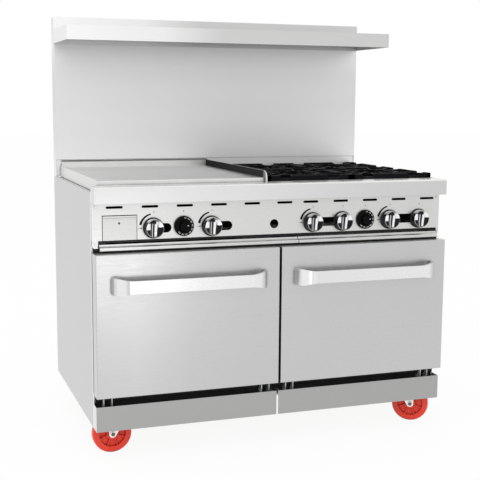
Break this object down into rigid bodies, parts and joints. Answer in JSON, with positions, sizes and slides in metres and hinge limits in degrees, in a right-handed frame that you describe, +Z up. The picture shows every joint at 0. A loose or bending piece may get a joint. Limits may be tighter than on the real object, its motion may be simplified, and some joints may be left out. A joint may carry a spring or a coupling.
{
  "type": "gas range",
  "caption": "Commercial gas range on casters: steel griddle, open burners with cast grates, twin drop-door ovens, riser with high shelf.",
  "frame": {"origin": "centre of the bounding box in plan, on the floor under the wheels", "axes": "+X to the right seen from the front, +Y to the back, +Z up"},
  "size_m": [1.2192, 0.87, 1.433],
  "materials": {
    "stainless": "fine horizontal brush",
    "handle_steel": "bright satin",
    "kick_steel": "satin",
    "galvanised": "galvanised sheet",
    "black_enamel": "gloss black porcelain enamel",
    "raw_steel": "mill finish",
    "griddle_steel": "ground steel plate",
    "splash_steel": "satin",
    "cast_iron": "black cast iron",
    "brass": "machined",
    "insulation": "mineral wool blanket",
    "knob_chrome": "polished",
    "black_plastic": "black phenolic",
    "chrome_wire": "plated wire",
    "zinc": "zinc plated",
    "red_plastic": "polyurethane tread on a moulded core"
  },
  "bodies": {
    "range": {"chassis_frame": "galvanised", "left_side_panel": "stainless", "right_side_panel": "stainless", "rear_panel": "galvanised", "front_frame": "black_enamel", "left_oven_liner": "black_enamel", "right_oven_liner": "black_enamel", "oven_insulation": "insulation", "oven_floor_plates": "raw_steel", "oven_burners": "raw_steel", "control_panel": "stainless", "front_ledge": "stainless", "burner_box": "black_enamel", "griddle_plate": "griddle_steel", "griddle_splash": "splash_steel", "griddle_burners": "raw_steel", "left_kick_plate": "kick_steel", "right_kick_plate": "kick_steel", "riser_panel": "stainless", "riser_back": "galvanised", "high_shelf": "stainless", "top_burners": "cast_iron", "gas_manifold": "raw_steel", "burner_valves": "brass", "hinge_brackets": "galvanised", "caster_plates": "galvanised"},
    "left_door": {"left_door_shell": "stainless", "left_door_liner": "black_enamel", "left_door_hinges": "raw_steel", "left_door_handle": "handle_steel"},
    "right_door": {"right_door_shell": "stainless", "right_door_liner": "black_enamel", "right_door_hinges": "raw_steel", "right_door_handle": "handle_steel"},
    "grease_drawer": {"grease_drawer": "stainless"},
    "left_drip_tray": {"left_drip_tray": "stainless"},
    "right_drip_tray": {"right_drip_tray": "stainless"},
    "left_oven_rack": {"left_oven_rack": "chrome_wire"},
    "right_oven_rack": {"right_oven_rack": "chrome_wire"},
    "front_left_grate": {"front_left_grate": "cast_iron"},
    "front_right_grate": {"front_right_grate": "cast_iron"},
    "rear_left_grate": {"rear_left_grate": "cast_iron"},
    "rear_right_grate": {"rear_right_grate": "cast_iron"},
    "griddle_knob_left": {"griddle_knob_left": "knob_chrome"},
    "griddle_knob_right": {"griddle_knob_right": "knob_chrome"},
    "burner_knob_1": {"burner_knob_1": "knob_chrome"},
    "burner_knob_2": {"burner_knob_2": "knob_chrome"},
    "burner_knob_3": {"burner_knob_3": "knob_chrome"},
    "burner_knob_4": {"burner_knob_4": "knob_chrome"},
    "left_oven_dial": {"left_oven_dial": "black_plastic"},
    "right_oven_dial": {"right_oven_dial": "black_plastic"},
    "front_left_caster_fork": {"front_left_caster_fork": "zinc"},
    "front_left_caster_wheel": {"front_left_caster_wheel": "red_plastic"},
    "front_right_caster_fork": {"front_right_caster_fork": "zinc"},
    "front_right_caster_wheel": {"front_right_caster_wheel": "red_plastic"},
    "rear_left_caster_fork": {"rear_left_caster_fork": "zinc"},
    "rear_left_caster_wheel": {"rear_left_caster_wheel": "red_plastic"},
    "rear_right_caster_fork": {"rear_right_caster_fork": "zinc"},
    "rear_right_caster_wheel": {"rear_right_caster_wheel": "red_plastic"}
  },
  "joints": [
    {"name": "left_door_hinge", "type": "hinge", "parent": "range", "child": "left_door", "pos_m": [-0.3063, -0.355, 0.212], "axis": [1, 0, 0], "range_deg": [0, 90], "stiffness_Nm_per_rad": 5, "springref_deg": -28.65},
    {"name": "right_door_hinge", "type": "hinge", "parent": "range", "child": "right_door", "pos_m": [0.3068, -0.355, 0.212], "axis": [1, 0, 0], "range_deg": [0, 90], "stiffness_Nm_per_rad": 5, "springref_deg": -28.65},
    {"name": "grease_drawer_slide", "type": "slide", "parent": "range", "child": "grease_drawer", "axis": [0, -1, 0], "range_m": [0, 0.27]},
    {"name": "left_drip_tray_slide", "type": "slide", "parent": "range", "child": "left_drip_tray", "axis": [0, -1, 0], "range_m": [0, 0.5]},
    {"name": "right_drip_tray_slide", "type": "slide", "parent": "range", "child": "right_drip_tray", "axis": [0, -1, 0], "range_m": [0, 0.5]},
    {"name": "left_oven_rack_slide", "type": "slide", "parent": "range", "child": "left_oven_rack", "axis": [0, -1, 0], "range_m": [0, 0.015]},
    {"name": "right_oven_rack_slide", "type": "slide", "parent": "range", "child": "right_oven_rack", "axis": [0, -1, 0], "range_m": [0, 0.015]},
    {"name": "front_left_grate_lift", "type": "slide", "parent": "range", "child": "front_left_grate", "axis": [0, 0, 1], "range_m": [0, 0.15]},
    {"name": "front_right_grate_lift", "type": "slide", "parent": "range", "child": "front_right_grate", "axis": [0, 0, 1], "range_m": [0, 0.15]},
    {"name": "rear_left_grate_lift", "type": "slide", "parent": "range", "child": "rear_left_grate", "axis": [0, 0, 1], "range_m": [0, 0.15]},
    {"name": "rear_right_grate_lift", "type": "slide", "parent": "range", "child": "rear_right_grate", "axis": [0, 0, 1], "range_m": [0, 0.15]},
    {"name": "griddle_knob_left_turn", "type": "hinge", "parent": "range", "child": "griddle_knob_left", "pos_m": [-0.4146, -0.335, 0.735], "axis": [0, -1, 0], "range_deg": [0, 90]},
    {"name": "griddle_knob_right_turn", "type": "hinge", "parent": "range", "child": "griddle_knob_right", "pos_m": [-0.2218, -0.335, 0.735], "axis": [0, -1, 0], "range_deg": [0, 90]},
    {"name": "burner_knob_1_turn", "type": "hinge", "parent": "range", "child": "burner_knob_1", "pos_m": [0.1314, -0.335, 0.735], "axis": [0, -1, 0], "range_deg": [0, 90]},
    {"name": "burner_knob_2_turn", "type": "hinge", "parent": "range", "child": "burner_knob_2", "pos_m": [0.2396, -0.335, 0.735], "axis": [0, -1, 0], "range_deg": [0, 90]},
    {"name": "burner_knob_3_turn", "type": "hinge", "parent": "range", "child": "burner_knob_3", "pos_m": [0.4166, -0.335, 0.735], "axis": [0, -1, 0], "range_deg": [0, 90]},
    {"name": "burner_knob_4_turn", "type": "hinge", "parent": "range", "child": "burner_knob_4", "pos_m": [0.529, -0.335, 0.735], "axis": [0, -1, 0], "range_deg": [0, 90]},
    {"name": "left_oven_dial_turn", "type": "hinge", "parent": "range", "child": "left_oven_dial", "pos_m": [-0.3146, -0.335, 0.738], "axis": [0, -1, 0], "range_deg": [0, 270]},
    {"name": "right_oven_dial_turn", "type": "hinge", "parent": "range", "child": "right_oven_dial", "pos_m": [0.3246, -0.335, 0.738], "axis": [0, -1, 0], "range_deg": [0, 270]},
    {"name": "front_left_swivel", "type": "hinge", "parent": "range", "child": "front_left_caster_fork", "pos_m": [-0.521, -0.283, 0.132], "axis": [0, 0, 1], "continuous": true},
    {"name": "front_left_wheel_spin", "type": "hinge", "parent": "front_left_caster_fork", "child": "front_left_caster_wheel", "pos_m": [-0.545, -0.283, 0.0635], "axis": [0, -1, 0], "continuous": true},
    {"name": "front_right_swivel", "type": "hinge", "parent": "range", "child": "front_right_caster_fork", "pos_m": [0.521, -0.283, 0.132], "axis": [0, 0, 1], "continuous": true},
    {"name": "front_right_wheel_spin", "type": "hinge", "parent": "front_right_caster_fork", "child": "front_right_caster_wheel", "pos_m": [0.54178, -0.295, 0.0635], "axis": [0.5, 0.866, 0], "continuous": true},
    {"name": "rear_left_swivel", "type": "hinge", "parent": "range", "child": "rear_left_caster_fork", "pos_m": [-0.521, 0.353, 0.132], "axis": [0, 0, 1], "continuous": true},
    {"name": "rear_left_wheel_spin", "type": "hinge", "parent": "rear_left_caster_fork", "child": "rear_left_caster_wheel", "pos_m": [-0.52184, 0.32902, 0.0635], "axis": [0.9994, -0.0349, 0], "continuous": true},
    {"name": "rear_right_swivel", "type": "hinge", "parent": "range", "child": "rear_right_caster_fork", "pos_m": [0.521, 0.353, 0.132], "axis": [0, 0, 1], "continuous": true},
    {"name": "rear_right_wheel_spin", "type": "hinge", "parent": "rear_right_caster_fork", "child": "rear_right_caster_wheel", "pos_m": [0.52681, 0.32971, 0.0635], "axis": [0.9703, 0.2419, 0], "continuous": true}
  ]
}
